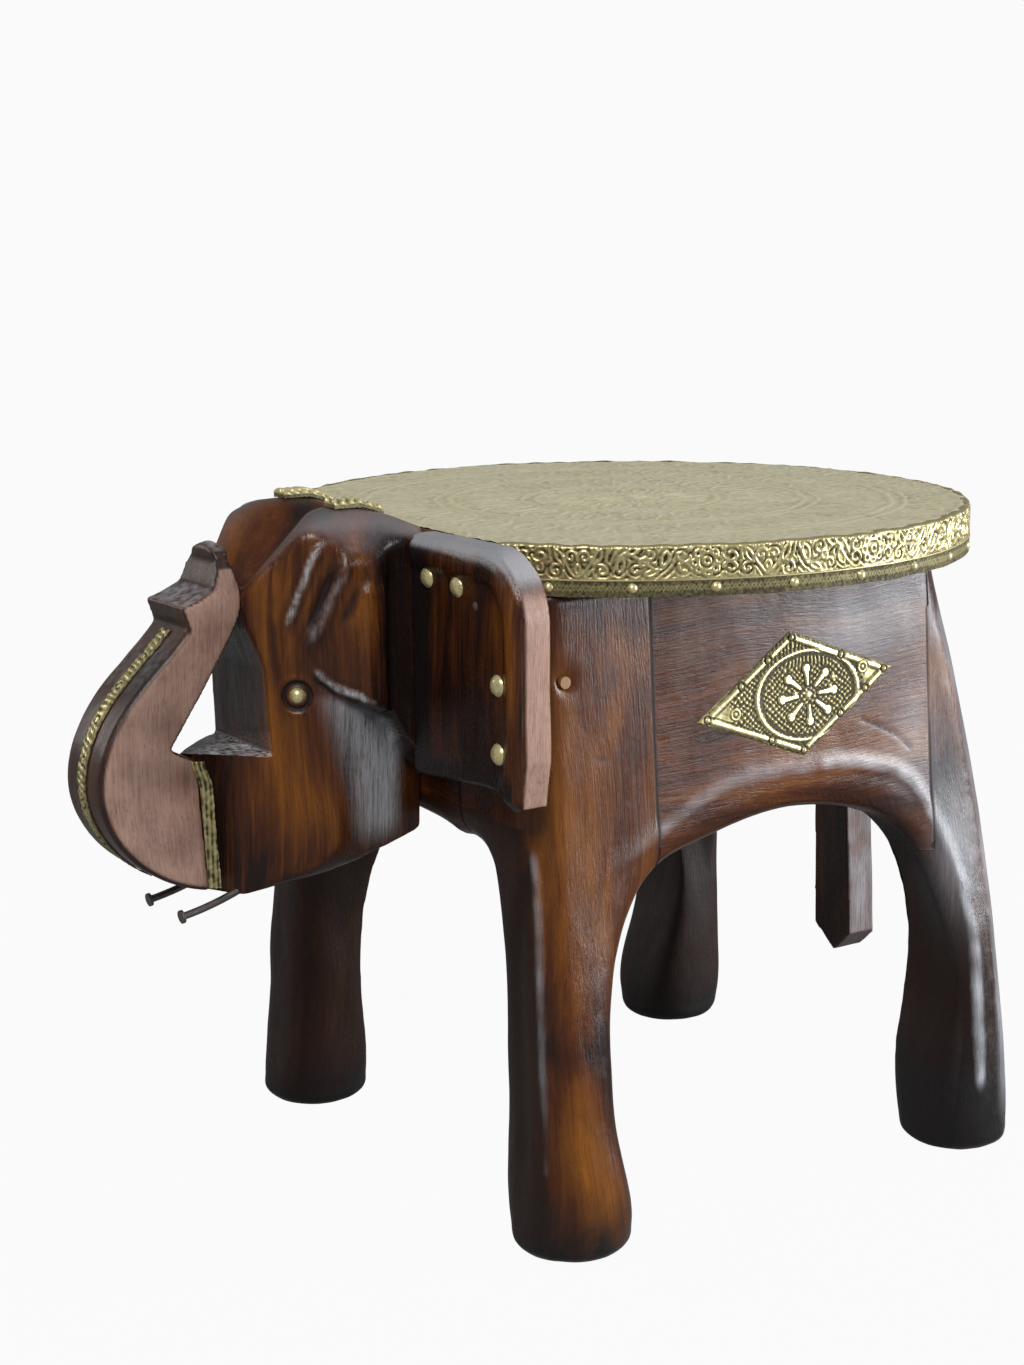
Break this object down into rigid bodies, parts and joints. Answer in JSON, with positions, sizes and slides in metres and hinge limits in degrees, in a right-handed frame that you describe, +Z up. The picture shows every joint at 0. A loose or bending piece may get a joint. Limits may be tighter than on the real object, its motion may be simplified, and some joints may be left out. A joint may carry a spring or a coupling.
{
  "type": "elephant stool",
  "caption": "Carved wooden stool in the shape of a standing elephant with raised trunk, round brass-clad seat, ears of board and brass trim.",
  "frame": {"origin": "centre of the stool's footprint box, at floor level", "axes": "+Z up, the elephant faces -Y, its left flank is +X"},
  "size_m": [0.3022, 0.415, 0.2991],
  "materials": {
    "walnut_wood": "gloss lacquer",
    "board_wood": "sawn",
    "pale_wood": "plain",
    "brass": "aged, embossed",
    "dark_brass": "tarnished",
    "dark_steel": "dark, worn"
  },
  "bodies": {
    "root": {"chest_dowels": "pale_wood", "chest_panel": "walnut_wood", "front_joint_dowels": "pale_wood", "head": "walnut_wood", "head_dowels": "pale_wood", "left_crown_strip": "brass", "left_ear": "walnut_wood", "left_ear_nail": "dark_steel", "left_ear_studs": "brass", "left_eye_stud": "brass", "left_flank_panel": "walnut_wood", "left_front_leg": "walnut_wood", "left_plaque": "brass", "left_plaque_pins": "brass", "left_rear_leg": "walnut_wood", "left_seam_strip": "brass", "left_shoulder_peg": "pale_wood", "left_tusk": "dark_steel", "rear_joint_dowels": "pale_wood", "right_crown_strip": "brass", "right_ear": "walnut_wood", "right_ear_nail": "dark_steel", "right_ear_studs": "brass", "right_eye_stud": "brass", "right_flank_panel": "walnut_wood", "right_front_leg": "walnut_wood", "right_plaque": "brass", "right_plaque_pins": "brass", "right_rear_leg": "walnut_wood", "right_seam_strip": "brass", "right_shoulder_peg": "pale_wood", "right_tusk": "dark_steel", "rim_band": "brass", "rim_tacks": "brass", "rim_trim": "dark_brass", "rump_dowels": "pale_wood", "rump_panel": "walnut_wood", "seat_board": "board_wood", "seat_screws": "dark_steel", "seat_sheet": "brass", "tail": "walnut_wood", "tail_pegs": "pale_wood", "trunk": "walnut_wood", "trunk_dowel": "pale_wood", "trunk_strip": "brass"}
  },
  "joints": []
}
